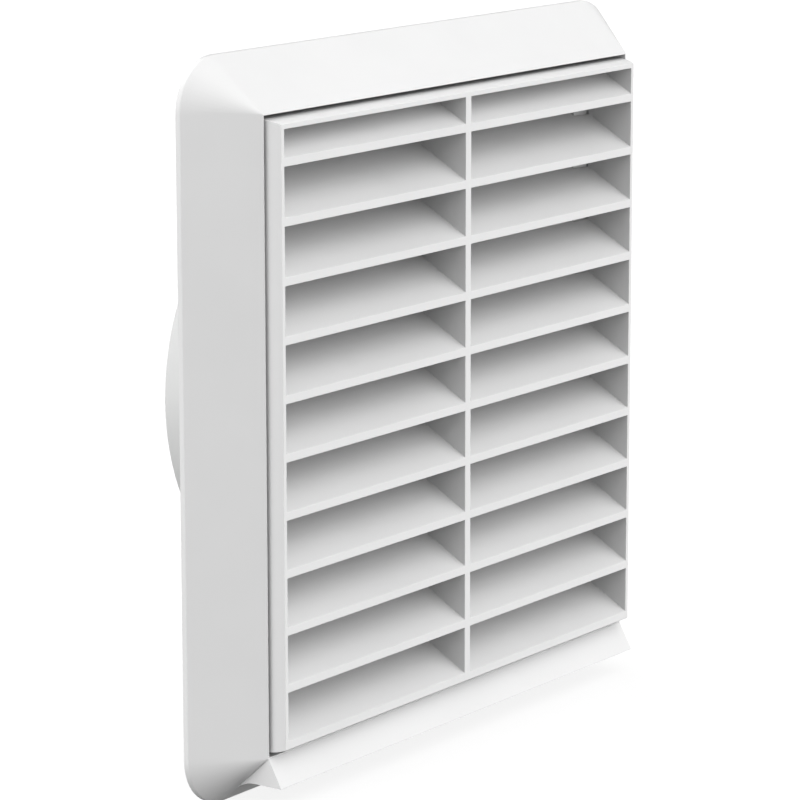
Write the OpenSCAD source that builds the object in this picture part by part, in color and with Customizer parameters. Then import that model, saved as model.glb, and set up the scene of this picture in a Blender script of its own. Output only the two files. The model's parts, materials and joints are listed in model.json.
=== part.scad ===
// Louvre-fronted bathroom extractor fan for a nominal 100 mm round duct.
//
// Each piece is drawn lying on its back: x to the right, y up the wall and z out of the wall
// into the room, with z = 0 on the wall. stand() then turns it upright, so that in the part's
// own frame +X is right, +Y goes into the wall and +Z is up. The origin is where the duct's
// axis meets the wall. All sizes are in millimetres.

/* [Frame] */
// Outside width and height of the frame
frame_w = 162; // [160:0.5:168]
// How far the bevel runs in from the frame's edge to its front opening
bevel_in = 11.6; // [11:0.1:12.4]
// How far the bevel comes forward of the rim
bevel_out = 12.7; // [12.5:0.1:14]
// Thickness of the square edge that lies against the wall
rim_t = 1.25; // [1:0.05:1.6]
// Wall thickness of the bevelled shell
shell_t = 1.8; // [1.5:0.1:2]
// How far the drip sill reaches below the frame's front opening
sill_drop = 6.2; // [4:0.1:8]

/* [Louvre panel] */
// How far the panel stands forward of the frame
panel_proud = 3.35; // [3:0.05:5]
// Gap between the panel and the frame at the sides
side_gap = 0.9; // [0.7:0.05:1.2]
// Gap between the panel and the frame above and below
top_gap = 1.2; // [0.8:0.05:1.5]
// Number of rows of openings
rows = 11; // [9:1:12]
// Height of the first slat's lower edge below the top border
first_row = 7.9; // [6:0.1:9]
// Height of a slat's front edge
slat_edge = 1.89; // [1.5:0.01:2.2]
// Slope of the slats, down towards the room
slat_slope = 30.5; // [28:0.5:32]
// Depth of the slats
slat_depth = 13.4; // [13:0.1:13.5]
// Width of the middle upright
mullion_t = 2.1; // [1.6:0.1:3]

/* [Duct] */
// Outside diameter of the spigot
spigot_d = 99; // [98:0.5:100]
// Wall thickness of the spigot
spigot_t = 1.8; // [1.6:0.1:2]
// How far the spigot reaches behind the wall plane
spigot_len = 30; // [30:0.5:45]
// Distance between the holes for the wall screws
fixing_pitch = 108; // [106:0.5:109]
// Diameter of the holes for the wall screws
fixing_d = 4.5; // [4:0.1:5]
// Diameter of the supply cable
cable_d = 6; // [5:0.1:6.4]

/* [Fan] */
// Number of impeller blades
blades = 7; // [5:1:7]
// Outside diameter of the impeller
impeller_d = 92.4; // [88:0.2:93]
// Outside diameter of the impeller's hub
hub_d = 38; // [38:0.2:40]
// Angle of the blades to the plane of rotation
blade_pitch = 38; // [36:1:48]
// Thickness of a blade
blade_t = 1.3; // [1:0.1:1.6]
// Diameter of the rotor shaft
shaft_d = 3; // [2.8:0.1:3]
// Running clearance on the radius between the shaft and its bushes
shaft_clearance = 0.03; // [0.02:0.01:0.06]

/* [Hidden] */

$fn = 96;
white = [0.93, 0.93, 0.92];
off_white = [0.86, 0.87, 0.87];
black = [0.12, 0.12, 0.13];
steel = [0.72, 0.73, 0.75];
brass = [0.78, 0.62, 0.30];
copper = [0.78, 0.42, 0.22];
bronze = [0.66, 0.47, 0.26];
foam_grey = [0.35, 0.36, 0.38];
board_green = [0.10, 0.36, 0.20];
blue = [0.16, 0.34, 0.62];
ferrite = [0.25, 0.25, 0.27];

over = 0.5;          // overrun of a cutting tool past the face it cuts
touch = 0.01;        // gap left between pieces that touch
slack = 0.05;        // gap left between pieces that slip together

// heights above the wall
frame_front = rim_t + bevel_out;
panel_front = frame_front + panel_proud;
slat_back = panel_front - slat_depth;
plate_top = 2;
ledge_bottom = 3.3;
ledge_top = 4.9;
skirt_back = ledge_top + 0.4;

// half sizes across the wall
frame_half = frame_w / 2;
opening_half = frame_half - bevel_in;
edge_land = 0.3;
sleeve_half = opening_half - edge_land;
sleeve_t = 1.6;
ledge_half = sleeve_half - 8.1;
panel_half_x = opening_half - side_gap;
panel_half_y = opening_half - top_gap;
plate_half = frame_half - 4.5;
plate_corner_r = 9;

// the panel's edges curve in towards the front on an arc that starts straight
edge_bow = 0.85;
edge_bow_depth = 4.4;
edge_r = (pow(edge_bow, 2) + pow(edge_bow_depth, 2)) / (2 * edge_bow);
border = 1.04;
grid_half_x = panel_half_x - edge_bow - border;
grid_half_y = panel_half_y - edge_bow - border;
first_slat_y = grid_half_y - first_row;
slat_pitch = (first_slat_y + grid_half_y + border) / (rows - 1);
slat_rise = slat_depth * tan(slat_slope);

// four push-in tongues on the panel, each in a spring clip
tongue_y = 40;
tongue_w = 8;
tongue_t = 1.07;
tongue_x = panel_half_x - tongue_t / 2;
tongue_back = 2.6;
clip_t = 0.25;
clip_w = 6;

frame_screw_at = frame_half - 16;
screw_core_r = 1.2;
screw_pilot_r = 1.25;
screw_hole_r = 1.6;

seal_half = frame_half - 6.5;
seal_w = 4;
seal_t = 0.8;

spigot_r = spigot_d / 2;
spigot_bore_r = spigot_r - spigot_t;
inlet_r = 2;

// the cable comes through a round cup in the lower right corner
lead_angle = -45;
cup_r = 8.7;
cup_bore_r = 7.2;
cup_at = spigot_r + cup_r + 2.8;
cup_back = -9;
cup_floor = -7.6;
grommet_neck_r = 4.2;
grommet_flange_r = 5.8;

// the motor hangs from three arms, each on a rubber mount
arms = 3;
arm_angles = [for (i = [0 : arms - 1]) lead_angle + i * 360 / arms];
eye_r = 4;
eye_at = spigot_bore_r - eye_r - 0.2;
eye_hole_r = 2.4;
eye_bottom = -2.1;
eye_top = 0.3;
mount_flange_t = 0.78;
mount_bottom = eye_bottom - touch - mount_flange_t;
mount_top = eye_top + touch + mount_flange_t;
boss_top = mount_bottom - touch;

// the pod that holds the wiring, in front of the motor
pod_r = 19;
pod_bore_r = 17.6;
pod_floor = -5.4;
pod_back = -7;
pod_front = 1.6;
cover_t = 1.2;
post_at = 14.4;
post_r = 2.4;
board_back = -4.2;
board_front = -3;
part_base = board_front + touch;
lead_at = -10;
lead_pitch = 2.4;
terminal_x = 10.6;
terminal_pitch = 5;
terminal_h = 4.3;
terminal_r = 1.5;

// heights along the motor
hub_front = pod_back - 0.6;
tube_front = pod_back + 1;
tube_back = -19;
cup_front = -8.2;
cup_plate_front = -19.6;
cup_plate_back = -20.6;
blade_front = -9;
blade_back = -21;
hub_back = -22.2;
stator_front = -11.2;
stator_back = -16.2;
coil_front = -10;
coil_back = -17.4;

shaft_r = shaft_d / 2;
groove_r = shaft_r - 0.4;
groove_back = tube_front - 0.65;
shaft_back = -21.6;
tube_bore_r = 3;
tube_r = 4;
cup_shell_r = hub_d / 2 - 1.85;
cup_shell_t = 1.1;
magnet_front = -9.2;
magnet_back = -18.4;
shoe_r = 13.4;
air_gap = 0.45;
poles = 4;
pole_w = 3.2;
yoke_r = 6.4;

// heights along the shutter, and its hinge
shutter_front = -23.4;
flap_front = -24.6;
flap_t = 0.8;
shutter_back = -spigot_len + 0.4;
hinge_z = -26.3;
hinge_pin_r = 1;
knuckle_r = 1.9;
knuckle_bore_r = hinge_pin_r + 0.06;
knuckle_w = 7;
// along the hinge, for the right-hand flap; the left-hand flap's are the same, upside down
knuckle_places = [-36, -20, 12, 28];
flap_r = spigot_bore_r - 2;
flap_edge = 2.2;

// ---- shared shapes ----

module stand() { rotate([90, 0, 0]) children(); }

module rod(r, z0, z1) { translate([0, 0, z0]) cylinder(r = r, h = z1 - z0); }

module tube(r, bore_r, z0, z1) {
    difference() {
        rod(r, z0, z1);
        rod(bore_r, z0 - over, z1 + over);
    }
}

module slab(half_x, half_y, z0, z1) {
    translate([-half_x, -half_y, z0]) cube([2 * half_x, 2 * half_y, z1 - z0]);
}

module rounded_slab(half, r, z0, z1) {
    slab(half - r, half, z0, z1);
    slab(half, half - r, z0, z1);
    corners(half - r) rod(r, z0, z1);
}

module corners(at) {
    for (x = [-at, at], y = [-at, at]) translate([x, y, 0]) children();
}

module round_pattern(at, count, start = 0) {
    for (i = [0 : count - 1]) rotate(start + i * 360 / count) translate([at, 0, 0]) children();
}

module mirror_pair(direction) {
    children();
    mirror(direction) children();
}

// a section drawn in (x, z) and run along y
module run_y(length) { rotate([90, 0, 0]) linear_extrude(length, center = true) children(); }

// a section drawn in (y, z) and run along x
module run_x(length) { rotate([90, 0, 90]) linear_extrude(length, center = true) children(); }

// screw with a sunk cone head, its flat top at z = 0
module sunk_screw(length, head_r, head_h) {
    difference() {
        union() {
            rod(screw_core_r, -length, -head_h / 2);
            translate([0, 0, -head_h]) cylinder(r1 = screw_core_r, r2 = head_r, h = head_h);
        }
        cross_recess(head_r * 0.55, head_h * 0.6);
    }
}

module pan_screw(length, head_r, head_h) {
    difference() {
        union() {
            rod(screw_core_r, -length, 0.1);
            rod(head_r, 0, head_h * 0.6);
            translate([0, 0, head_h * 0.6]) cylinder(r1 = head_r, r2 = head_r * 0.7, h = head_h * 0.4);
        }
        translate([0, 0, head_h]) cross_recess(head_r * 0.6, head_h * 0.6);
    }
}

module cross_recess(reach, depth) {
    blade = 0.5;
    slab(reach, blade / 2, -depth, over);
    slab(blade / 2, reach, -depth, over);
}

// ---- louvre panel ----

module panel_section(half) {
    arc_x = half - edge_r;
    arc_z = panel_front - edge_bow_depth;
    intersection() {
        translate([-half, slat_back]) square([2 * half, panel_front - slat_back]);
        union() {
            translate([-half, slat_back]) square([2 * half, arc_z - slat_back]);
            translate([-arc_x, slat_back]) square([2 * arc_x, panel_front - slat_back]);
            for (side = [-1, 1]) translate([side * arc_x, arc_z]) circle(edge_r);
        }
    }
}

module panel_block() {
    intersection() {
        run_y(2 * panel_half_y + over) panel_section(panel_half_x);
        run_x(2 * panel_half_x + over) panel_section(panel_half_y);
    }
}

module slat(y) {
    run_x(2 * grid_half_x + border)
        polygon([[y, panel_front], [y + slat_edge, panel_front],
                 [y + slat_edge + slat_rise, slat_back], [y + slat_rise, slat_back]]);
}

// the slats stop short where they would meet the frame's ledge
module over_ledge() {
    difference() {
        slab(frame_half, frame_half, slat_back - over, skirt_back + 0.2);
        slab(ledge_half - 0.5, ledge_half - 0.5, slat_back - 2 * over, skirt_back + over);
    }
}

module tongue() {
    translate([tongue_x - tongue_t / 2, -tongue_w / 2, tongue_back])
        cube([tongue_t, tongue_w, skirt_back - tongue_back + 1]);
}

module louvre_panel() {
    color(white) stand() {
        intersection() {
            panel_block();
            union() {
                difference() {
                    slab(frame_half, frame_half, skirt_back, panel_front + over);
                    slab(grid_half_x, grid_half_y, skirt_back - over, panel_front + 2 * over);
                }
                difference() {
                    union() {
                        for (i = [0 : rows - 1]) slat(first_slat_y - i * slat_pitch);
                        slab(mullion_t / 2, panel_half_y, slat_back, panel_front + over);
                    }
                    over_ledge();
                }
            }
        }
        for (x = [0, 1], y = [-tongue_y, tongue_y])
            mirror([x, 0, 0]) translate([0, y, 0]) tongue();
    }
}

module inlet_guard() {
    ring_r = 56;
    ring_w = 3;
    guard_t = 0.8;
    bar_w = 0.9;
    bar_pitch = 5;
    bars = 10;
    rib_pitch = 26;
    guard_front = slat_back - slack;
    guard_back = guard_front - guard_t;
    color(off_white) stand() {
        tube(ring_r, ring_r - ring_w, guard_back, guard_front);
        intersection() {
            rod(ring_r - ring_w + 0.2, guard_back, guard_front);
            union() {
                for (i = [-bars : bars]) translate([i * bar_pitch, 0, 0])
                    slab(bar_w / 2, ring_r, guard_back, guard_front);
                for (i = [-1 : 1]) translate([0, i * rib_pitch, 0])
                    slab(ring_r, bar_w / 2, guard_back, guard_front);
            }
        }
    }
}

// ---- front frame ----

// square block whose sides flare from a sharp square at the front to a square with round
// corners behind: each corner is a cone that comes to a point at the front
module flared_block(half, flare, z0, z1) {
    slab(half, half, z0, z1);
    for (turn = [0 : 90 : 270]) rotate(turn)
        translate([half, 0, 0]) run_y(2 * half)
            polygon([[-1, z0], [flare, z0], [0, z1], [-1, z1]]);
    for (turn = [0 : 90 : 270]) rotate(turn) translate([half, half, 0])
        rotate_extrude(angle = 90) polygon([[0, z0], [flare, z0], [0, z1]]);
}

module bevel_solid() {
    flared_block(opening_half, bevel_in, rim_t, frame_front);
    rounded_slab(frame_half, bevel_in, 0, rim_t);
}

// the hollow behind the bevel, outside the sleeve
module bevel_hollow() {
    inset = shell_t * sqrt(1 + pow(bevel_in / bevel_out, 2));
    difference() {
        union() {
            flared_block(opening_half - inset, bevel_in, rim_t, frame_front);
            rounded_slab(frame_half - inset, bevel_in, -over, rim_t);
        }
        slab(sleeve_half + sleeve_t, sleeve_half + sleeve_t, -2 * over, frame_front + over);
    }
}

// the sill's flat underside runs into the bevel through a fillet
module drip_sill() {
    tip_y = -opening_half - sill_drop;
    tip_edge = 0.2;
    bevel_slope = atan(bevel_in / bevel_out);
    fillet_r = 8;
    steps = 6;
    center_y = tip_y - fillet_r + 2 * touch;
    center_z = frame_front - sill_drop / tan(bevel_slope) + fillet_r * tan(bevel_slope / 2);
    run_x(2 * opening_half) polygon(concat(
        [[-opening_half, frame_front], [tip_y + tip_edge, panel_front], [tip_y, panel_front]],
        [for (i = [0 : steps]) let (turn = -bevel_slope * i / steps)
            [center_y + fillet_r * cos(turn), center_z + fillet_r * sin(turn)]],
        [[-opening_half - 0.4, frame_front - 1.6]]));
}

module clip_slot() {
    slot_w = 10;
    inner = tongue_x - tongue_t / 2 - slack - clip_t - 0.08;
    translate([inner, -slot_w / 2, ledge_bottom - over])
        cube([sleeve_half - inner, slot_w, ledge_top - ledge_bottom + 2 * over]);
}

module front_frame() {
    head_r = 2.9;
    color(white) stand() {
        difference() {
            bevel_solid();
            bevel_hollow();
            slab(sleeve_half, sleeve_half, ledge_top, frame_front + over);
            slab(ledge_half, ledge_half, -over, ledge_top + over);
            slab(sleeve_half, sleeve_half, -over, ledge_bottom);
            slab(sleeve_half + sleeve_t + over, sleeve_half + sleeve_t + over, -over, plate_top + 0.2);
            round_pattern(frame_screw_at, 4) {
                rod(screw_hole_r, ledge_bottom - over, ledge_top + over);
                translate([0, 0, ledge_top - 1.2])
                    cylinder(r1 = screw_hole_r, r2 = head_r + 0.1, h = 1.2 + touch);
            }
            for (x = [0, 1], y = [-tongue_y, tongue_y])
                mirror([x, 0, 0]) translate([0, y, 0]) clip_slot();
        }
        drip_sill();
    }
}

// U-shaped spring clip round a tongue, with a foot that rests on the ledge
module panel_clip() {
    inner = tongue_x - tongue_t / 2 - slack - clip_t;
    outer = tongue_x + tongue_t / 2 + slack;
    web = tongue_back - 0.15 - clip_t;
    foot = 0.5;
    run_y(clip_w) {
        translate([inner, web]) square([clip_t, ledge_top + 0.2 - web]);
        translate([outer, web]) square([clip_t, ledge_top - web]);
        translate([inner, web]) square([outer - inner + clip_t, clip_t]);
        translate([inner - foot, ledge_top + touch]) square([foot + clip_t, 0.2 - touch]);
    }
}

module panel_clips() {
    color(steel) stand()
        for (x = [0, 1], y = [-tongue_y, tongue_y])
            mirror([x, 0, 0]) translate([0, y, 0]) panel_clip();
}

module frame_screws() {
    color(steel) stand()
        round_pattern(frame_screw_at, 4) translate([0, 0, ledge_top - 0.05]) sunk_screw(4.2, 2.8, 1.2);
}

// ---- wall plate, spigot and cable entry ----

module spigot() {
    chamfer = 0.15;
    rotate_extrude($fn = 180)
        polygon([[spigot_bore_r, -spigot_len], [spigot_r - chamfer, -spigot_len],
                 [spigot_r, -spigot_len + chamfer], [spigot_r, plate_top / 2],
                 [spigot_bore_r, plate_top / 2]]);
}

module inlet_round() {
    rotate_extrude($fn = 180) difference() {
        translate([spigot_bore_r - over, 0]) square([inlet_r + over, plate_top + over]);
        translate([spigot_bore_r + inlet_r, 0]) circle(inlet_r);
    }
}

module carrier_boss() {
    depth = 5.4;
    boss_r = eye_r - 0.6;
    rod(boss_r, boss_top - depth, boss_top);
    translate([0, -boss_r, boss_top - depth])
        cube([spigot_bore_r - eye_at + 0.8, 2 * boss_r, depth]);
}

module wall_plate() {
    pillar_r = 3.4;
    color(off_white) stand() difference() {
        union() {
            difference() {
                union() {
                    rounded_slab(plate_half, plate_corner_r, 0, plate_top);
                    round_pattern(frame_screw_at, 4)
                        rod(pillar_r, plate_top - 0.1, ledge_bottom - slack);
                }
                rod(spigot_bore_r, -over, plate_top + over);
                seal_groove();
            }
            spigot();
            rotate(lead_angle) translate([cup_at, 0, 0]) rod(cup_r, cup_back, plate_top);
            for (a = arm_angles) rotate(a) translate([eye_at, 0, 0]) carrier_boss();
        }
        inlet_round();
        corners(fixing_pitch / 2) rod(fixing_d / 2, -over, plate_top + over);
        round_pattern(frame_screw_at, 4) rod(screw_pilot_r, 0.4, ledge_bottom + over);
        for (a = arm_angles) rotate(a) translate([eye_at, 0, 0])
            rod(screw_pilot_r, boss_top - 4.6, boss_top + over);
        rotate(lead_angle) translate([cup_at, 0, 0]) {
            rod(cup_bore_r, cup_floor, plate_top + over);
            rod(grommet_neck_r + touch, cup_back - over, cup_floor + over);
        }
    }
}

module seal_groove() {
    difference() {
        rounded_slab(seal_half, plate_corner_r - 2, -over, seal_t + slack);
        rounded_slab(seal_half - seal_w, plate_corner_r - 6, -2 * over, seal_t + 2 * over);
    }
}

module wall_seal() {
    color(foam_grey) stand() difference() {
        rounded_slab(seal_half - slack, plate_corner_r - 2, 0, seal_t);
        rounded_slab(seal_half - seal_w + slack, plate_corner_r - 6, -over, seal_t + over);
    }
}

module cable_grommet() {
    flange_t = 1;
    color(black) stand() rotate(lead_angle) translate([cup_at, 0, 0]) difference() {
        union() {
            rod(grommet_neck_r, cup_back - flange_t - touch, cup_floor + flange_t + touch);
            rod(grommet_flange_r, cup_back - flange_t - touch, cup_back - touch);
            rod(grommet_flange_r, cup_floor + touch, cup_floor + flange_t + touch);
        }
        rod(cable_d / 2, cup_back - 2 * flange_t, cup_floor + 2 * flange_t);
    }
}

module gland_nut() {
    nut_back = cup_floor + 1.1;
    nut_front = nut_back + 4.5;
    grips = 12;
    color(off_white) stand() rotate(lead_angle) translate([cup_at, 0, 0]) difference() {
        rod(cup_bore_r - slack, nut_back, nut_front);
        rod(cable_d / 2 + 0.6, nut_back - over, nut_front + over);
        round_pattern(cup_bore_r, grips) rod(0.6, nut_back + 1.5, nut_front + over);
    }
}

// ---- motor carrier, mounts and wiring pod ----

module carrier_arm() {
    arm_w = 5;
    arm_depth = 5;
    arm_back = -3.6;
    start = pod_bore_r + 0.4;
    deep_end = eye_at - eye_r - 1;
    translate([start, -arm_w / 2, arm_back]) cube([deep_end - start, arm_w, arm_depth]);
    translate([deep_end - 1, -arm_w / 2, eye_bottom])
        cube([eye_at - deep_end + 1, arm_w, eye_top - eye_bottom]);
    translate([eye_at, 0, 0]) rod(eye_r, eye_bottom, eye_top);
}

module motor_carrier() {
    channel_w = 2.6;
    channel_len = 21;
    channel_floor = -1.8;
    collar_r = 6.5;
    pad_at = 8.5;
    pad_r = 1.2;
    color(off_white) stand() difference() {
        union() {
            rod(pod_r, pod_back, pod_floor);
            tube(pod_r, pod_bore_r, pod_floor - 0.1, pod_front);
            rod(collar_r, pod_back - 2.4, pod_back + 0.1);
            rotate(lead_angle) for (side = [-1, 1])
                translate([0, side * post_at, 0]) rod(post_r, pod_floor - 0.1, pod_front - slack);
            round_pattern(pad_at, 3, lead_angle) rod(pad_r, pod_floor - 0.1, board_back - touch);
            for (a = arm_angles) rotate(a) carrier_arm();
        }
        rod(tube_r + touch, pod_back - 3, tube_front + over);
        rod(tube_r + 1, tube_front, pod_floor + over);
        for (a = arm_angles) rotate(a) translate([eye_at, 0, 0])
            rod(eye_hole_r + touch, eye_bottom - over, eye_top + over);
        rotate(lead_angle) {
            translate([pod_bore_r - 1, -channel_w / 2, channel_floor])
                cube([channel_len, channel_w, pod_front - channel_floor + over]);
            for (side = [-1, 1]) translate([0, side * post_at, 0])
                rod(screw_pilot_r, pod_front - 6, pod_front + over);
            lead_places() rod(0.8, pod_back - over, pod_floor + over);
        }
    }
}

module lead_places() {
    for (i = [-1 : 1]) translate([lead_at, i * lead_pitch, 0]) children();
}

module carrier_mounts() {
    bore_r = 1.5;
    flange_r = 3.5;
    color(black) stand() for (a = arm_angles) rotate(a) translate([eye_at, 0, 0]) difference() {
        union() {
            rod(eye_hole_r, mount_bottom, mount_top);
            rod(flange_r, mount_bottom, eye_bottom - touch);
            rod(flange_r, eye_top + touch, mount_top);
        }
        rod(bore_r, mount_bottom - over, mount_top + over);
    }
}

module carrier_screws() {
    color(steel) stand() for (a = arm_angles) rotate(a)
        translate([eye_at, 0, mount_top + touch]) pan_screw(8, 2.9, 1.6);
}

module pod_cover() {
    lip_t = 1;
    color(off_white) stand() difference() {
        union() {
            rod(pod_r, pod_front + touch, pod_front + cover_t);
            tube(pod_bore_r - 0.1, pod_bore_r - 0.1 - lip_t, pod_front - 0.8, pod_front + 0.1);
        }
        rotate(lead_angle) for (side = [-1, 1]) translate([0, side * post_at, 0]) {
            rod(screw_hole_r, pod_front - 2, pod_front + cover_t + over);
            rod(post_r + 0.1, pod_front - 2, pod_front + touch);
            translate([0, 0, pod_front + cover_t - 1])
                cylinder(r1 = screw_hole_r, r2 = 2.6, h = 1 + touch);
        }
    }
}

module pod_screws() {
    color(steel) stand() rotate(lead_angle) for (side = [-1, 1])
        translate([0, side * post_at, pod_front + cover_t - 0.05]) sunk_screw(5.4, 2.4, 1);
}

module drive_board() {
    color(board_green) stand() difference() {
        rod(pod_bore_r - 0.3, board_back, board_front);
        rod(4.6, board_back - over, board_front + over);
        rotate(lead_angle) {
            for (side = [-1, 1]) translate([0, side * post_at, 0])
                rod(post_r + 0.3, board_back - over, board_front + over);
            lead_places() rod(0.62, board_back - over, board_front + over);
        }
    }
}

// two upright capacitors, the driver chip, three resistors and two diodes
module board_components() {
    cap_r = 2.6;
    cap_h = 4.2;
    row = 8;
    color(black) stand() rotate(lead_angle) translate([0, 0, part_base]) {
        for (side = [-1, 1]) translate([lead_at, side * row, 0]) rod(cap_r, 0, cap_h);
        translate([-7.6, -4, 0]) cube([3, 8, 1.6]);
        for (i = [-1 : 1]) translate([-14.6, i * 2.6 - 0.6, 0]) cube([2.2, 1.2, 0.7]);
        for (side = [-1, 1]) translate([1.5, side * row - 1, 0]) cube([3, 2, 1]);
    }
}

module terminal_places() {
    for (side = [-1, 1]) translate([terminal_x, side * terminal_pitch / 2, 0]) children();
}

module terminal_block() {
    block_w = 7.6;
    wire_r = 1.2;
    color(blue) stand() rotate(lead_angle) difference() {
        translate([terminal_x - block_w / 2, -terminal_pitch, part_base])
            cube([block_w, 2 * terminal_pitch, terminal_h]);
        terminal_places() {
            rod(terminal_r, part_base + 1, part_base + terminal_h + over);
            translate([0, 0, part_base + 2]) rotate([0, 90, 0]) rod(wire_r, 0, block_w / 2 + over);
        }
    }
}

module terminal_screws() {
    top = part_base + terminal_h - 0.2;
    slot_depth = 0.35;
    color(steel) stand() rotate(lead_angle) terminal_places() difference() {
        rod(terminal_r - slack, top - 0.9, top);
        slab(terminal_r, 0.25, top - slot_depth, top + over);
    }
}

module motor_leads() {
    color(copper) stand() rotate(lead_angle) lead_places()
        rod(0.55, coil_front + touch, board_front + 0.4);
}

// ---- bearings and stator ----

module bearing_tube() {
    color(brass) stand() tube(tube_r - touch, tube_bore_r, tube_back, tube_front);
}

module bush(z0) {
    length = 4;
    color(bronze) stand() tube(tube_bore_r - touch, shaft_r + shaft_clearance, z0, z0 + length);
}

module front_bush() { bush(tube_front - 5); }

module rear_bush() { bush(tube_back + 0.1); }

// ring, cut through midway between the poles, and a yoke with one straight pole to each part
module stator_core() {
    shoe_bore_r = shoe_r - 1.8;
    slot_w = 3;
    color(steel) stand() {
        difference() {
            tube(shoe_r, shoe_bore_r, stator_back, stator_front);
            round_pattern(shoe_bore_r + 1, poles, 45)
                slab(2.5, slot_w / 2, stator_back - over, stator_front + over);
        }
        difference() {
            union() {
                rod(yoke_r, stator_back, stator_front);
                round_pattern(8.8, poles) slab(3.2, pole_w / 2, stator_back, stator_front);
            }
            rod(tube_r, stator_back - over, stator_front + over);
        }
    }
}

module insulator(z0, z1) {
    difference() {
        union() {
            rod(yoke_r - 0.2, z0, z1);
            round_pattern(8.2, poles) slab(2.8, pole_w / 2 - 0.1, z0, z1);
        }
        rod(tube_r, z0 - over, z1 + over);
    }
}

module stator_insulators() {
    t = 0.3;
    color(white) stand() {
        insulator(stator_front + touch, stator_front + touch + t);
        insulator(stator_back - touch - t, stator_back - touch);
    }
}

module stator_coils() {
    gap = 0.35;
    color(copper) stand() intersection() {
        rod(11.4, coil_back, coil_front);
        round_pattern(8.95, poles) difference() {
            slab(1.85, 4.5, coil_back, coil_front);
            slab(3, pole_w / 2 + slack, stator_back - gap, stator_front + gap);
        }
    }
}

// ---- rotor and impeller ----

module rotor_cup() {
    vents = 6;
    vent_at = 10;
    vent_r = 1.8;
    color(steel) stand() difference() {
        union() {
            tube(cup_shell_r, cup_shell_r - cup_shell_t, cup_plate_back, cup_front);
            rod(cup_shell_r - 0.1, cup_plate_back, cup_plate_front);
        }
        rod(shaft_r + touch, cup_plate_back - over, cup_plate_front + over);
        round_pattern(vent_at, vents) rod(vent_r, cup_plate_back - over, cup_plate_front + over);
    }
}

module rotor_magnet() {
    color(ferrite) stand()
        tube(cup_shell_r - cup_shell_t - touch, shoe_r + air_gap, magnet_back, magnet_front);
}

module rotor_shaft() {
    groove_front = groove_back + 0.5;
    color(steel) stand() {
        rod(shaft_r, shaft_back, groove_back);
        rod(groove_r, groove_back - 0.1, groove_front + 0.1);
        rod(shaft_r, groove_front, pod_floor + 0.4);
    }
}

module rotor_spacer() {
    color(brass) stand()
        tube(tube_bore_r - 0.2, shaft_r + touch, cup_plate_front + touch, tube_back + 0.04);
}

module thrust_washer() {
    color(white) stand()
        tube(tube_bore_r - 0.15, shaft_r + touch, groove_back - 0.3, groove_back - slack);
}

module shaft_clip() {
    clip_r = 2.5;
    mouth = 1.4;
    color(steel) stand() difference() {
        tube(clip_r, groove_r + 0.02, groove_back + 0.02, groove_back + 0.45);
        translate([0, -mouth / 2, groove_back - over]) cube([2 * clip_r, mouth, 3 * over]);
    }
}

// blade section, cambered on an arc between its front and back edges, hollow side
// facing the duct
module blade_section() {
    run = (blade_front - blade_back) / tan(blade_pitch);
    chord = norm([run, blade_front - blade_back]);
    camber = 1.9;
    arc_r = (pow(chord / 2, 2) + pow(camber, 2)) / (2 * camber);
    middle = (blade_front + blade_back) / 2;
    away = arc_r - camber;
    intersection() {
        translate([-run / 2 - 1, blade_back]) square([run + 2, blade_front - blade_back]);
        translate([-away * sin(blade_pitch), middle - away * cos(blade_pitch)]) difference() {
            circle(arc_r, $fn = 180);
            circle(arc_r - blade_t, $fn = 180);
        }
    }
}

module impeller() {
    hub_r = hub_d / 2;
    blade_start = hub_r - 1;
    color(off_white) stand() difference() {
        union() {
            rod(hub_r, hub_back, hub_front);
            intersection() {
                tube(impeller_d / 2, blade_start, hub_back, hub_front);
                for (i = [0 : blades - 1]) rotate(i * 360 / blades)
                    translate([impeller_d / 4, 0, 0]) run_x(impeller_d / 2 + 2) blade_section();
            }
        }
        rod(cup_shell_r + slack, cup_plate_back - slack, hub_front + over);
        rod(shaft_r + touch, shaft_back - 0.1, cup_plate_back);
    }
}

// ---- backdraught shutter ----

// bar across the duct that the flaps close against
module shutter_bar() {
    half_w = 3.4;
    slab(half_w, spigot_bore_r - 1, flap_front + 0.4, shutter_front);
}

module along_hinge(r, y0, y1) {
    translate([0, y1, hinge_z]) rotate([90, 0, 0]) cylinder(r = r, h = y1 - y0);
}

module shutter_ring() {
    seat_r = 44.4;
    color(off_white) stand() difference() {
        union() {
            tube(spigot_bore_r - slack, flap_r + 0.5, shutter_back, shutter_front);
            tube(flap_r + 0.6, seat_r, flap_front + 0.2, shutter_front);
            shutter_bar();
        }
        along_hinge(hinge_pin_r + touch, -spigot_r, spigot_r);
    }
}

module shutter_pin() {
    half = spigot_bore_r - 0.4;
    color(steel) stand() along_hinge(hinge_pin_r, -half, half);
}

module right_half_flap() {
    difference() {
        union() {
            intersection() {
                rod(flap_r, flap_front - flap_t, flap_front);
                translate([flap_edge, -flap_r, flap_front - 2]) cube([flap_r, 2 * flap_r, 4]);
            }
            for (y = knuckle_places) {
                along_hinge(knuckle_r, y - knuckle_w / 2, y + knuckle_w / 2);
                translate([0.6, y - knuckle_w / 2, flap_front - flap_t])
                    cube([flap_edge, knuckle_w, flap_t]);
            }
            for (y = [-24, 0, 24]) translate([14, y - 0.5, flap_front - flap_t - 0.8]) cube([20, 1, 1]);
        }
        for (y = knuckle_places)
            along_hinge(knuckle_bore_r, y - knuckle_w, y + knuckle_w);
    }
}

module right_flap() { color(off_white) stand() right_half_flap(); }

module left_flap() { color(off_white) stand() rotate(180) right_half_flap(); }

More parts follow.
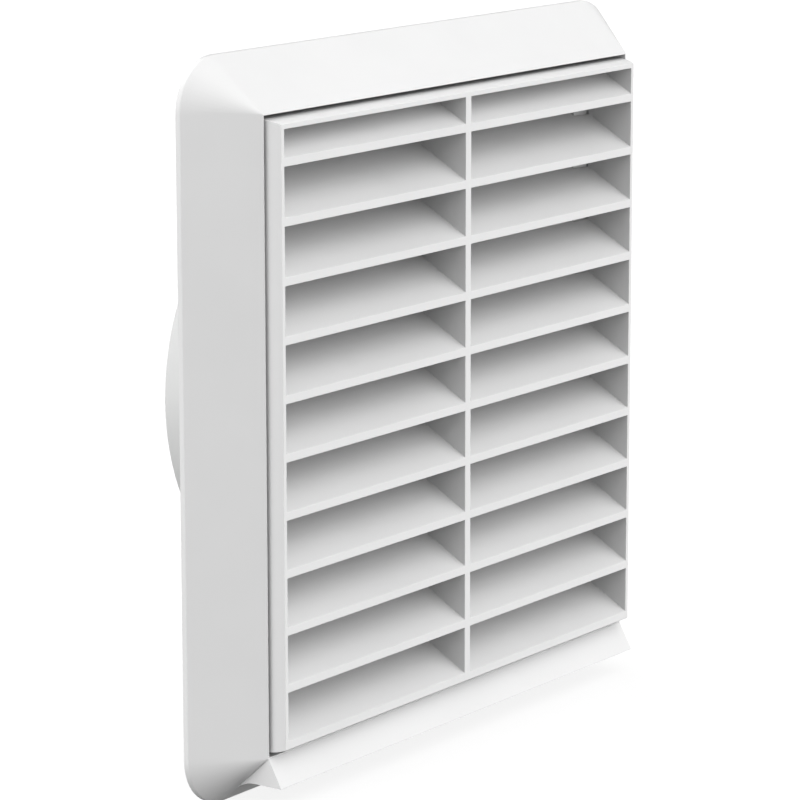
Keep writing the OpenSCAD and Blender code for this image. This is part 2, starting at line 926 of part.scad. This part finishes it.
// light spring round the pin: a stack of turns, and one leg under the flap
module right_half_spring() {
    wire_r = 0.28;
    turns = 6;
    coil_r = 1.55;
    turn_pitch = 0.5;
    leg_z = flap_front - flap_t - wire_r - 0.02;
    for (i = [0 : turns - 1])
        translate([0, 2.2 + i * turn_pitch, hinge_z]) rotate([90, 0, 0])
            rotate_extrude($fn = 48) translate([coil_r, 0]) circle(wire_r, $fn = 24);
    translate([1.3, 2.2, leg_z]) rotate([0, 90, 0]) cylinder(r = wire_r, h = 15, $fn = 24);
}

module right_spring() { color(steel) stand() right_half_spring(); }

module left_spring() { color(steel) stand() rotate(180) right_half_spring(); }

louvre_panel();
inlet_guard();
front_frame();
panel_clips();
frame_screws();
wall_plate();
wall_seal();
cable_grommet();
gland_nut();
motor_carrier();
carrier_mounts();
carrier_screws();
pod_cover();
pod_screws();
drive_board();
board_components();
terminal_block();
terminal_screws();
motor_leads();
bearing_tube();
front_bush();
rear_bush();
stator_core();
stator_insulators();
stator_coils();
rotor_cup();
rotor_magnet();
rotor_shaft();
rotor_spacer();
thrust_washer();
shaft_clip();
impeller();
shutter_ring();
shutter_pin();
left_flap();
right_flap();
left_spring();
right_spring();
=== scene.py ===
"""Looks for the louvre-fronted extractor fan: edges, materials, floor, light and camera.

Metres, in the part's own frame: +X right seen from the room, +Y into the wall, +Z up, with the
origin where the duct's axis meets the wall. Sizes of the object are given in millimetres.
"""

import json
import math

import bmesh
import bpy
from mathutils import Matrix, Vector
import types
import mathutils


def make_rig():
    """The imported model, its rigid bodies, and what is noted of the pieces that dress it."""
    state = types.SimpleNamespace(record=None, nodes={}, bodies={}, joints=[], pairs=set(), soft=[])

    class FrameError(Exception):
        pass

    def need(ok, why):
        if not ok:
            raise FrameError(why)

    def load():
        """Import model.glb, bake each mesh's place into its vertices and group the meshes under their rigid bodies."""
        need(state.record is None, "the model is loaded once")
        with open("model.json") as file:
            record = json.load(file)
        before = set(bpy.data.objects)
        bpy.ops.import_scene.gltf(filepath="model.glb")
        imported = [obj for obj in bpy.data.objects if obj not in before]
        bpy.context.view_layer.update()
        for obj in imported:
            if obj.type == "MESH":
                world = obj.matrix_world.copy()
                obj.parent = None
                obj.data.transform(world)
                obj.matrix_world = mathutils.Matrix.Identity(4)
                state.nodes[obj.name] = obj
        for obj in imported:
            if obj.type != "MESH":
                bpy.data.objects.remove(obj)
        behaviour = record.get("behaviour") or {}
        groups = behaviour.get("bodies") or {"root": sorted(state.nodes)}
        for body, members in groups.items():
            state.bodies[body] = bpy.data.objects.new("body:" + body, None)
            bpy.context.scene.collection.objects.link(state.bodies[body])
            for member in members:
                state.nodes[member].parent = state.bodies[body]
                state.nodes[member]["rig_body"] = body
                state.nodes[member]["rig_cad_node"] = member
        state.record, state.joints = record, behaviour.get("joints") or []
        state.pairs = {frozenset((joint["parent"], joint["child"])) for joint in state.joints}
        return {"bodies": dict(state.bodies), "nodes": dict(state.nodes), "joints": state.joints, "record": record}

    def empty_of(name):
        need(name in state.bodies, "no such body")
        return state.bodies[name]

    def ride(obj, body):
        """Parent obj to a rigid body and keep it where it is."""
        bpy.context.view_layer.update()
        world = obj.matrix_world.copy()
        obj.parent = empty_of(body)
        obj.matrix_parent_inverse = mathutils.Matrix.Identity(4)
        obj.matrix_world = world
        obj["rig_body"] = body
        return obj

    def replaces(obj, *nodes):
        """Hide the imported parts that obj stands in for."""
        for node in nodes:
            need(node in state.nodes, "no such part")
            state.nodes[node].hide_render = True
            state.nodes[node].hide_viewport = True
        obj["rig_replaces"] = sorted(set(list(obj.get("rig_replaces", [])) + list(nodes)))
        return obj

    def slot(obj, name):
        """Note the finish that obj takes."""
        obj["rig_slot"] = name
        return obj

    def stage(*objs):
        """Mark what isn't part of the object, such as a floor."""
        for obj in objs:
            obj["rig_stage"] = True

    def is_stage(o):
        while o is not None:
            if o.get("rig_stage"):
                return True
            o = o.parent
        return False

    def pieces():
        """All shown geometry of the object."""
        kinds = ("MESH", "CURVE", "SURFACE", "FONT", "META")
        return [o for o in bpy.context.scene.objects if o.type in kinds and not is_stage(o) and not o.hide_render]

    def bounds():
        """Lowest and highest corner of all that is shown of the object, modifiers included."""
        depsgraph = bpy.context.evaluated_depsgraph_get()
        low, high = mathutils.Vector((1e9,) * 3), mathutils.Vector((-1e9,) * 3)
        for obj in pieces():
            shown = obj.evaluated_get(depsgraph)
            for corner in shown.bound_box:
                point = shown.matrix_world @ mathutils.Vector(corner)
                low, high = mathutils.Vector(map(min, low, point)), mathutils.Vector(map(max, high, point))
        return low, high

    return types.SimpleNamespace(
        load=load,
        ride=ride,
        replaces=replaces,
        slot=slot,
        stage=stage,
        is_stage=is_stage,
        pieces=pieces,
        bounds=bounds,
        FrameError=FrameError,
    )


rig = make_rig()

MM = 0.001

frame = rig.load()
CAD_BOX = [list(corner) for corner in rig.bounds()]
NODES = frame["nodes"]


# ---- edges ----

WELD_GAP = 0.0001
ROUNDED_ABOVE = 32       # degrees between two faces

# width of the rounded edges, steps across them, and the pieces that have them
EDGE_GROUPS = {
    "panel": (0.13, 3, ["louvre_panel"]),
    "thick": (0.2, 3, ["wall_plate", "motor_carrier", "impeller", "pod_cover", "gland_nut",
                       "cable_grommet"]),
    "thin": (0.1, 3, ["shutter_ring", "left_flap", "right_flap", "inlet_guard", "carrier_mounts",
                      "terminal_block", "board_components", "rotor_cup"]),
    "small": (0.05, 2, ["carrier_screws", "frame_screws", "pod_screws", "panel_clips",
                        "bearing_tube", "stator_core", "terminal_screws", "rotor_shaft",
                        "shutter_pin", "front_bush", "rear_bush", "stator_insulators",
                        "rotor_spacer", "thrust_washer", "shaft_clip", "drive_board",
                        "motor_leads", "wall_seal"]),
    "wound": (0.3, 3, ["stator_coils", "rotor_magnet"]),
}


def even_shading(obj, keep_sharp=False):
    """Lets the broad faces set the normals, so that they shade flat up to their rounded edges."""
    normals = obj.modifiers.new("even_shading", "WEIGHTED_NORMAL")
    normals.mode = "FACE_AREA"
    normals.weight = 100
    normals.keep_sharp = keep_sharp


def round_edges(obj, width, steps):
    """Joins the faces of obj and rounds its sharp edges."""
    weld = obj.modifiers.new("join", "WELD")
    weld.merge_threshold = WELD_GAP * MM
    bevel = obj.modifiers.new("round", "BEVEL")
    bevel.width = width * MM
    bevel.segments = steps
    bevel.limit_method = "ANGLE"
    bevel.angle_limit = math.radians(ROUNDED_ABOVE)
    bevel.miter_outer = "MITER_ARC"
    even_shading(obj)


# ---- front frame ----

FRAME_HALF = 81.0        # half the frame's width at the wall
BEVEL_IN = 11.6          # how far the bevel runs in, also the radius of the corners at the wall
BEVEL_OUT = 12.7
RIM_T = 1.25
PANEL_PROUD = 3.35
OPENING_HALF = FRAME_HALF - BEVEL_IN
FRAME_FRONT = RIM_T + BEVEL_OUT       # this and the depths below are distances out of the wall
PANEL_FRONT = FRAME_FRONT + PANEL_PROUD
SHELL_INSET = 2.44       # from the outside of the bevelled shell to its inside, across the wall

FRONT_LIP = 0.3          # from the edge of the opening in to the sleeve
SLEEVE_HALF = OPENING_HALF - FRONT_LIP
SLEEVE_T = 1.6
SLEEVE_OUTSIDE = SLEEVE_HALF + SLEEVE_T
SLEEVE_BACK = 2.2
LEDGE_HALF = 61.0
LEDGE_TOP = 4.9
LEDGE_BOTTOM = 3.3

OPENING_R = 0.08         # radii of the corners seen from the front
LEDGE_R = 0.5
SLEEVE_R = 1.5

RIM_SOFT = 0.25          # how far the rounding of an edge reaches along its two faces
EDGE_SOFT = 0.15
FRONT_SOFT = 0.12
SLEEVE_SOFT = 0.1
SHARP = 0

SILL_DROP = 6.24
SILL_TIP = OPENING_HALF + SILL_DROP
SILL_TIP_T = 0.2
SILL_FILLET = 8.0
SILL_SINK = 0.02         # how far the end of the fillet is sunk into the bevel
SILL_ROOT_IN = 0.4       # where the sill ends inside the shell, below and behind the opening
SILL_ROOT_BACK = 1.6
SILL_SOFT = 0.07
FOLDED_ABOVE = 30        # degrees between two faces of the sill

SCREW_AT = 65.0
SCREW_HOLE_R = 1.6
SCREW_HEAD_R = 3.0
SCREW_SINK = 1.2
CLIP_SLOT_SIDES = (67.05, 69.09)
CLIP_SLOT_HALF = 5
CLIP_AT = 40.0
OVERRUN = 0.5            # how far a cutter reaches past the faces it cuts
TOUCH = 0.01
POINT_GAP = 0.001        # points nearer to each other than this are joined

SMOOTH_BELOW = 38        # degrees between two faces of the frame


def place(x, z, depth):
    """A point in metres from millimetres right, up and out of the wall."""
    return (x * MM, -depth * MM, z * MM)


def eased(profile, steps=3):
    """Rounds the corners of a closed profile of (half width, depth, corner radius, reach)."""
    points = []
    for i, corner in enumerate(profile):
        reach = corner[3]
        if not reach:
            points.append(corner[:3])
            continue
        ends = []
        for other in (profile[i - 1], profile[(i + 1) % len(profile)]):
            share = reach / math.dist(corner[:2], other[:2])
            ends.append([c + (o - c) * share for c, o in zip(corner[:3], other[:3])])
        for step in range(steps + 1):
            t = step / steps
            points.append([(1 - t) ** 2 * a + 2 * t * (1 - t) * c + t * t * b
                           for a, c, b in zip(ends[0], corner, ends[1])])
    return points


def square_ring(bm, half, depth, radius, steps=14):
    """Square of points round the duct's axis, with corners of the given radius."""
    verts = []
    for quarter in range(4):
        turn = math.radians(90 * quarter)
        for step in range(steps + 1):
            angle = turn + math.radians(90 * step / steps)
            x = (half - radius) * math.copysign(1, math.cos(turn + math.pi / 4))
            z = (half - radius) * math.copysign(1, math.sin(turn + math.pi / 4))
            verts.append(bm.verts.new(place(x + radius * math.cos(angle),
                                            z + radius * math.sin(angle), depth)))
    return verts


def bridge(bm, rings):
    """Faces between each pair of rings."""
    for one, two in rings:
        for i in range(len(one)):
            j = (i + 1) % len(one)
            bm.faces.new((one[i], one[j], two[j], two[i]))


def to_mesh(bm, name):
    """Mesh from bm, with its faces turned outwards."""
    bmesh.ops.remove_doubles(bm, verts=bm.verts, dist=POINT_GAP * MM)
    bmesh.ops.recalc_face_normals(bm, faces=bm.faces)
    mesh = bpy.data.meshes.new(name)
    bm.to_mesh(mesh)
    bm.free()
    return mesh


def frame_shell():
    """Bevelled shell with the sleeve round its opening and the ledge behind the panel."""
    inner = FRAME_HALF - SHELL_INSET
    slope = BEVEL_IN / BEVEL_OUT
    meet = FRAME_FRONT - (SLEEVE_OUTSIDE - OPENING_HALF + SHELL_INSET) / slope
    profile = [
        (FRAME_HALF, 0.0, BEVEL_IN, EDGE_SOFT),
        (FRAME_HALF, RIM_T, BEVEL_IN, RIM_SOFT),
        (OPENING_HALF, FRAME_FRONT, OPENING_R, FRONT_SOFT),
        (SLEEVE_HALF, FRAME_FRONT, OPENING_R, SLEEVE_SOFT),
        (SLEEVE_HALF, LEDGE_TOP, OPENING_R, SHARP),
        (LEDGE_HALF, LEDGE_TOP, LEDGE_R, EDGE_SOFT),
        (LEDGE_HALF, LEDGE_BOTTOM, LEDGE_R, EDGE_SOFT),
        (SLEEVE_HALF, LEDGE_BOTTOM, LEDGE_R, SHARP),
        (SLEEVE_HALF, SLEEVE_BACK, LEDGE_R, SLEEVE_SOFT),
        (SLEEVE_OUTSIDE, SLEEVE_BACK, SLEEVE_R, SLEEVE_SOFT),
        (SLEEVE_OUTSIDE, meet, (FRAME_FRONT - meet) * slope, SHARP),
        (inner, RIM_T, BEVEL_IN, SHARP),
        (inner, 0.0, BEVEL_IN, EDGE_SOFT),
    ]
    bm = bmesh.new()
    rings = [square_ring(bm, half, depth, radius) for half, depth, radius in eased(profile)]
    bridge(bm, zip(rings, rings[1:] + rings[:1]))
    return to_mesh(bm, "front_frame_looks")


def sill_section(steps=12):
    """Outline of the sill as (height, depth): its top, its tip, its underside and its root."""
    slope = math.atan2(BEVEL_IN, BEVEL_OUT)
    center_z = -SILL_TIP - SILL_FILLET
    center_depth = (FRAME_FRONT - (SILL_TIP - OPENING_HALF) / math.tan(slope)
                    + SILL_FILLET * math.tan(slope / 2))
    section = [
        (-OPENING_HALF, FRAME_FRONT),
        (-SILL_TIP + SILL_TIP_T, PANEL_FRONT),
        (-SILL_TIP, PANEL_FRONT),
    ]
    for step in range(steps + 1):
        turn = -slope * step / steps
        section.append((center_z + SILL_SINK + SILL_FILLET * math.cos(turn),
                        center_depth + SILL_FILLET * math.sin(turn)))
    section.append((-OPENING_HALF - SILL_ROOT_IN, FRAME_FRONT - SILL_ROOT_BACK))
    return section


def drip_sill():
    """Sill along the bottom, its flat underside run into the bevel through a fillet."""
    bm = bmesh.new()
    ends = [[bm.verts.new(place(x, z, depth)) for z, depth in sill_section()]
            for x in (-OPENING_HALF, OPENING_HALF)]
    bridge(bm, [ends])
    for end in ends:
        bm.faces.new(end)
    bmesh.ops.recalc_face_normals(bm, faces=bm.faces)
    folds = [edge for edge in bm.edges if edge.calc_face_angle() > math.radians(FOLDED_ABOVE)]
    bmesh.ops.bevel(bm, geom=folds, offset=SILL_SOFT * MM, segments=2, profile=0.5,
                    affect="EDGES", clamp_overlap=True)
    return to_mesh(bm, "sill")


def box_mesh(bm, x, z, depth):
    """Box between two values each of x, z and depth."""
    corners = [[bm.verts.new(place(a, b, d)) for a, b in
                ((x[0], z[0]), (x[1], z[0]), (x[1], z[1]), (x[0], z[1]))] for d in depth]
    bridge(bm, [corners])
    for end in corners:
        bm.faces.new(end)


def turned_mesh(bm, x, z, profile, steps=32):
    """Solid turned about an axis out of the wall, from a profile of (radius, depth)."""
    rings = [[bm.verts.new(place(x + r * math.cos(2 * math.pi * i / steps),
                                 z + r * math.sin(2 * math.pi * i / steps), depth))
              for i in range(steps)] for r, depth in profile]
    bridge(bm, zip(rings, rings[1:]))
    bm.faces.new(rings[0])
    bm.faces.new(rings[-1])


def frame_cutters():
    """Countersunk screw holes and clip slots in the ledge."""
    screw_hole = [
        (SCREW_HOLE_R, LEDGE_BOTTOM - OVERRUN),
        (SCREW_HOLE_R, LEDGE_TOP - SCREW_SINK),
        (SCREW_HEAD_R, LEDGE_TOP + TOUCH),
        (SCREW_HEAD_R, LEDGE_TOP + OVERRUN),
    ]
    bm = bmesh.new()
    for quarter in range(4):
        turn = math.radians(90 * quarter)
        turned_mesh(bm, SCREW_AT * math.cos(turn), SCREW_AT * math.sin(turn), screw_hole)
    for side in (-1, 1):
        for up in (-CLIP_AT, CLIP_AT):
            box_mesh(bm, [side * edge for edge in CLIP_SLOT_SIDES],
                     (up - CLIP_SLOT_HALF, up + CLIP_SLOT_HALF),
                     (LEDGE_BOTTOM - OVERRUN, LEDGE_TOP + OVERRUN))
    return to_mesh(bm, "cutters")


def combine(target, mesh, operation):
    """Boolean of mesh with target, applied."""
    tool = bpy.data.objects.new("tool", mesh)
    bpy.context.scene.collection.objects.link(tool)
    step = target.modifiers.new("combine", "BOOLEAN")
    step.operation = operation
    step.solver = "EXACT"
    step.object = tool
    graph = bpy.context.evaluated_depsgraph_get()
    result = bpy.data.meshes.new_from_object(target.evaluated_get(graph))
    target.modifiers.clear()
    target.data = result
    bpy.data.objects.remove(tool)


def make_front_frame():
    """The frame drawn anew as one clean mesh, in place of the CAD node's."""
    made = bpy.data.objects.new("front_frame_looks", frame_shell())
    bpy.context.scene.collection.objects.link(made)
    combine(made, drip_sill(), "UNION")
    combine(made, frame_cutters(), "DIFFERENCE")
    made.data.polygons.foreach_set("use_smooth", [True] * len(made.data.polygons))
    made.data.set_sharp_from_angle(angle=math.radians(SMOOTH_BELOW))
    even_shading(made, keep_sharp=True)
    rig.ride(made, "housing")
    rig.replaces(made, "front_frame")
    return made


# ---- materials ----

# share of the light that is left after it has bounced once between white faces
WHITE_BOUNCE = 0.58
# the range that most of a noise's values lie in
NOISE_LOW = 0.3
NOISE_HIGH = 0.7


class Finish:
    """One procedural material, built up node by node."""

    def __init__(self, name, color, roughness, metallic=0.0):
        self.name = name
        self.mat = bpy.data.materials.new(name)
        self.mat.use_nodes = True
        self.mat.diffuse_color = (*color, 1.0)
        self.tree = self.mat.node_tree
        self.bsdf = self.tree.nodes["Principled BSDF"]
        self.bsdf.inputs["Base Color"].default_value = (*color, 1.0)
        self.bsdf.inputs["Roughness"].default_value = roughness
        self.bsdf.inputs["Metallic"].default_value = metallic
        self.coords = self.add("ShaderNodeTexCoord").outputs["Object"]
        self.relief = None

    def add(self, kind, **settings):
        node = self.tree.nodes.new(kind)
        for name, value in settings.items():
            setattr(node, name, value)
        return node

    def link(self, source, target):
        self.tree.links.new(source, target)

    def stretched(self, scale):
        mapping = self.add("ShaderNodeMapping")
        mapping.inputs["Scale"].default_value = scale
        self.link(self.coords, mapping.inputs["Vector"])
        return mapping.outputs["Vector"]

    def noise(self, scale, detail=3.0, stretch=None):
        node = self.add("ShaderNodeTexNoise")
        node.inputs["Scale"].default_value = scale
        node.inputs["Detail"].default_value = detail
        self.link(self.stretched(stretch) if stretch else self.coords, node.inputs["Vector"])
        return node.outputs["Fac"]

    def cells(self, scale, feature="F1"):
        node = self.add("ShaderNodeTexVoronoi", feature=feature)
        node.inputs["Scale"].default_value = scale
        self.link(self.coords, node.inputs["Vector"])
        return node.outputs["Distance"]

    def bands(self, scale, direction, distortion=0.0):
        node = self.add("ShaderNodeTexWave", wave_type="BANDS", bands_direction=direction)
        node.inputs["Scale"].default_value = scale
        node.inputs["Distortion"].default_value = distortion
        self.link(self.coords, node.inputs["Vector"])
        return node.outputs["Fac"]

    def colors(self, value, stops):
        """Colours the surface by value, through stops of (position, colour)."""
        node = self.add("ShaderNodeValToRGB")
        for element, (position, color) in zip(node.color_ramp.elements, stops):
            element.position = position
            element.color = (*color, 1.0)
        self.link(value, node.inputs["Fac"])
        self.link(node.outputs["Color"], self.bsdf.inputs["Base Color"])

    def rough(self, value, low, high):
        """Varies the roughness between low and high with a noise's value."""
        node = self.add("ShaderNodeMapRange")
        node.inputs["From Min"].default_value = NOISE_LOW
        node.inputs["From Max"].default_value = NOISE_HIGH
        node.inputs["To Min"].default_value = low
        node.inputs["To Max"].default_value = high
        self.link(value, node.inputs["Value"])
        self.link(node.outputs["Result"], self.bsdf.inputs["Roughness"])

    def bump(self, value, distance, strength=1.0):
        """distance in millimetres; each call adds its relief to the ones before."""
        node = self.add("ShaderNodeBump")
        node.inputs["Distance"].default_value = distance * MM
        node.inputs["Strength"].default_value = strength
        self.link(value, node.inputs["Height"])
        if self.relief:
            self.link(self.relief, node.inputs["Normal"])
        self.relief = node.outputs["Normal"]
        self.link(self.relief, self.bsdf.inputs["Normal"])

    def coat(self, weight, roughness):
        self.bsdf.inputs["Coat Weight"].default_value = weight
        self.bsdf.inputs["Coat Roughness"].default_value = roughness

    def dim_bounces(self, share):
        """Light that has already bounced once comes back weaker, which keeps recesses deep."""
        socket = self.bsdf.inputs["Base Color"]
        source = socket.links[0].from_socket
        bounced = self.add("ShaderNodeLightPath").outputs["Is Diffuse Ray"]
        mix = self.add("ShaderNodeMix", data_type="RGBA", blend_type="MULTIPLY")
        self.link(bounced, mix.inputs["Factor"])
        self.link(source, mix.inputs["A"])
        mix.inputs["B"].default_value = (share, share, share, 1.0)
        self.link(mix.outputs["Result"], socket)


def shades(color, spread):
    """Two stops a little darker and a little lighter than color."""
    darker = [c * (1 - spread) for c in color]
    lighter = [min(1.0, c * (1 + spread)) for c in color]
    return [(NOISE_LOW, darker), (NOISE_HIGH, lighter)]


def plastic(name, color, roughness, grain, grain_scale=1800):
    """Moulded plastic with a fine grain and faint waves."""
    finish = Finish(name, color, roughness)
    finish.colors(finish.noise(45, 2), shades(color, 0.012))
    finish.rough(finish.noise(260), roughness - 0.04, roughness + 0.05)
    finish.bump(finish.noise(grain_scale, 2), grain)
    finish.bump(finish.noise(60, 1), 0.01, 0.5)
    return finish


def white_plastic(name, color, roughness, grain, grain_scale=1800):
    """Plastic whose recesses stay dark although it is white."""
    finish = plastic(name, color, roughness, grain, grain_scale)
    finish.dim_bounces(WHITE_BOUNCE)
    return finish


def metal(name, color, roughness, stretch=(1, 1, 1)):
    """Brushed metal; stretch packs the brushing closer along an axis."""
    finish = Finish(name, color, roughness, 1.0)
    finish.colors(finish.noise(30, 4, stretch), shades(color, 0.08))
    finish.rough(finish.noise(60, 5, stretch), roughness - 0.07, roughness + 0.1)
    finish.bump(finish.noise(90, 4, stretch), 0.006, 0.7)
    return finish


def foam():
    """Dark foam with open pores."""
    finish = Finish("foam", (0.07, 0.07, 0.075), 0.9)
    pores = finish.cells(1600)
    # the colour darkens into the pits that the bump below makes: painted shade in the pores
    finish.colors(pores, [(0.0, (0.03, 0.03, 0.033)), (0.8, (0.1, 0.1, 0.105))])
    finish.bump(pores, 0.12)
    return finish


def bronze():
    """Sintered bronze, which is slightly porous."""
    finish = metal("bronze", (0.50, 0.31, 0.14), 0.4)
    finish.bump(finish.cells(3000), 0.02)
    return finish


def lamination():
    """Stack of thin steel sheets, seen as fine lines across the duct's axis."""
    finish = metal("lamination", (0.36, 0.36, 0.38), 0.36)
    finish.bump(finish.bands(640, "Y"), 0.05)
    return finish


def magnet():
    """Dark ferrite with a grainy surface."""
    finish = Finish("magnet", (0.05, 0.05, 0.055), 0.62, 0.2)
    finish.colors(finish.noise(700, 4),
                  [(0.35, (0.03, 0.03, 0.033)), (0.7, (0.085, 0.085, 0.09))])
    finish.rough(finish.noise(400), 0.5, 0.72)
    finish.bump(finish.noise(1200), 0.02)
    return finish


def copper():
    """Lacquered copper wire, wound in fine turns."""
    wire = (0.62, 0.24, 0.08)
    finish = Finish("copper", wire, 0.3, 0.9)
    finish.colors(finish.noise(160, 3), shades(wire, 0.2))
    finish.bump(finish.bands(900, "Z", 1.5), 0.08)
    finish.coat(0.6, 0.15)
    return finish


def board():
    """Green lacquered board with a faint network of tracks."""
    finish = Finish("board", (0.02, 0.16, 0.06), 0.35)
    tracks = finish.cells(420, "DISTANCE_TO_EDGE")
    finish.colors(tracks, [(0.05, (0.03, 0.24, 0.1)), (0.12, (0.012, 0.11, 0.045))])
    finish.bump(tracks, 0.03)
    finish.rough(finish.noise(300), 0.28, 0.42)
    finish.coat(0.5, 0.2)
    return finish


def make_finishes():
    """Every material, by the name of its slot."""
    made = [
        white_plastic("panel_white", (0.80, 0.80, 0.80), 0.34, grain=0.002, grain_scale=2200),
        white_plastic("housing_white", (0.79, 0.795, 0.79), 0.42, grain=0.006),
        plastic("nylon", (0.74, 0.72, 0.64), 0.5, grain=0.006),
        plastic("terminal_blue", (0.03, 0.12, 0.42), 0.4, grain=0.005),
        plastic("component_black", (0.022, 0.022, 0.024), 0.48, grain=0.006),
        plastic("black_rubber", (0.018, 0.018, 0.019), 0.72, grain=0.02, grain_scale=900),
        metal("steel", (0.60, 0.61, 0.63), 0.28, stretch=(1, 1, 9)),
        metal("spring_steel", (0.50, 0.51, 0.54), 0.22, stretch=(9, 9, 1)),
        metal("brass", (0.75, 0.55, 0.24), 0.24, stretch=(1, 14, 1)),
        foam(),
        bronze(),
        lamination(),
        magnet(),
        copper(),
        board(),
    ]
    return {finish.name: finish.mat for finish in made}


# ---- dress the pieces ----

FINISHES = make_finishes()


def dress(obj, slot):
    """Gives obj the finish of its material slot."""
    obj.data.materials.clear()
    obj.data.materials.append(FINISHES[slot])
    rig.slot(obj, slot)


for part in frame["record"]["subparts"]:
    dress(NODES[part["node"]], part["material_slot"])
for edge_width, edge_steps, pieces in EDGE_GROUPS.values():
    for piece in pieces:
        round_edges(NODES[piece], edge_width, edge_steps)
dress(make_front_frame(), "panel_white")


# ---- floor, light and camera ----

FLOOR_SIZE = 8           # metres
FLOOR_GREY = (0.2, 0.2, 0.2)
FLOOR_GLOW = 0.84

# direction the light comes from, how tightly it gathers round that direction, strength
ROOM_LIGHTS = {
    "front_above": ((0.0, -0.7, 0.7), 4, 2.12),
    "behind_above": ((0.0, 0.6, 0.8), 20, 6.0),
    "front": ((0.0, -1.0, 0.0), 12, 1.5),
    "left": ((-1.0, 0.0, 0.0), 4, 0.2),
    "left_behind": ((-0.9, 0.45, 0.1), 4, 2.3),
    "right": ((0.9, -0.45, 0.0), 6, 1.9),
}
# sines of the angles to the horizontal between which the light fades out downwards
LIGHT_GONE = -0.8
LIGHT_FULL = -0.25

CAMERA_AT = (-0.678107, -0.491457, 0.169196)
CAMERA_RIGHT = (0.58788, -0.80895, -0.0012)
CAMERA_UP = (0.16469, 0.11823, 0.97923)
SENSOR = 36
LENS = 169.2965
CAMERA_NEAR = 0.05       # metres


def make_floor():
    """Pale floor that glows a little itself, so that the shadows on it stay faint."""
    bpy.ops.mesh.primitive_plane_add(size=FLOOR_SIZE, location=(0, 0, CAD_BOX[0][2]))
    floor = bpy.context.object
    floor.name = "floor"
    finish = Finish("pale_floor", FLOOR_GREY, 0.85)
    finish.colors(finish.noise(3, 3), shades(FLOOR_GREY, 0.01))
    finish.bump(finish.noise(220, 3), 0.02)
    finish.bsdf.inputs["Emission Color"].default_value = (1, 1, 1, 1)
    finish.bsdf.inputs["Emission Strength"].default_value = FLOOR_GLOW
    floor.data.materials.append(finish.mat)
    # the object is lit by the room alone, so the floor sends no light back up
    floor.visible_diffuse = False
    floor.visible_glossy = False
    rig.stage(floor)


def make_room_light():
    """World that lights the object from the broad directions of ROOM_LIGHTS."""
    world = bpy.data.worlds.new("studio")
    world.use_nodes = True
    bpy.context.scene.world = world
    tree = world.node_tree
    background = tree.nodes["Background"]
    ray = tree.nodes.new("ShaderNodeTexCoord").outputs["Generated"]

    def maths(operation, first, second):
        node = tree.nodes.new("ShaderNodeMath")
        node.operation = operation
        for socket, value in zip(node.inputs, (first, second)):
            if isinstance(value, float):
                socket.default_value = value
            else:
                tree.links.new(value, socket)
        return node.outputs[0]

    total = 0.0
    for direction, gather, strength in ROOM_LIGHTS.values():
        toward = tree.nodes.new("ShaderNodeVectorMath")
        toward.operation = "DOT_PRODUCT"
        tree.links.new(ray, toward.inputs[0])
        toward.inputs[1].default_value = Vector(direction).normalized()
        glow = maths("POWER", maths("MAXIMUM", toward.outputs["Value"], 0.0), float(gather))
        total = maths("ADD", total, maths("MULTIPLY", glow, float(strength)))

    height = tree.nodes.new("ShaderNodeSeparateXYZ")
    tree.links.new(ray, height.inputs[0])
    fade = tree.nodes.new("ShaderNodeMapRange")
    fade.interpolation_type = "SMOOTHSTEP"
    fade.inputs["From Min"].default_value = LIGHT_GONE
    fade.inputs["From Max"].default_value = LIGHT_FULL
    tree.links.new(height.outputs["Z"], fade.inputs["Value"])
    lit = maths("MULTIPLY", total, fade.outputs["Result"])

    # the camera itself sees plain white beyond the floor
    seen = tree.nodes.new("ShaderNodeLightPath").outputs["Is Camera Ray"]
    shown = maths("ADD", maths("MULTIPLY", lit, maths("SUBTRACT", 1.0, seen)), seen)
    tree.links.new(shown, background.inputs["Strength"])
    background.inputs["Color"].default_value = (1, 1, 1, 1)


def make_camera():
    """Low telephoto view from the front left."""
    right = Vector(CAMERA_RIGHT)
    back = right.cross(Vector(CAMERA_UP)).normalized()
    up = back.cross(right).normalized()
    right.normalize()
    camera = bpy.data.objects.new("camera", bpy.data.cameras.new("camera"))
    bpy.context.scene.collection.objects.link(camera)
    turn = Matrix((right, up, back)).transposed().to_4x4()
    camera.matrix_world = Matrix.Translation(Vector(CAMERA_AT)) @ turn
    camera.data.sensor_width = SENSOR
    camera.data.lens = LENS
    camera.data.clip_start = CAMERA_NEAR
    bpy.context.scene.camera = camera


make_floor()
make_room_light()
make_camera()
settings = bpy.context.scene.view_settings
settings.view_transform = "Standard"
settings.look = "None"

with open("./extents.json", "w") as out:
    json.dump({"cad": CAD_BOX, "visual": [list(corner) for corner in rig.bounds()]}, out)
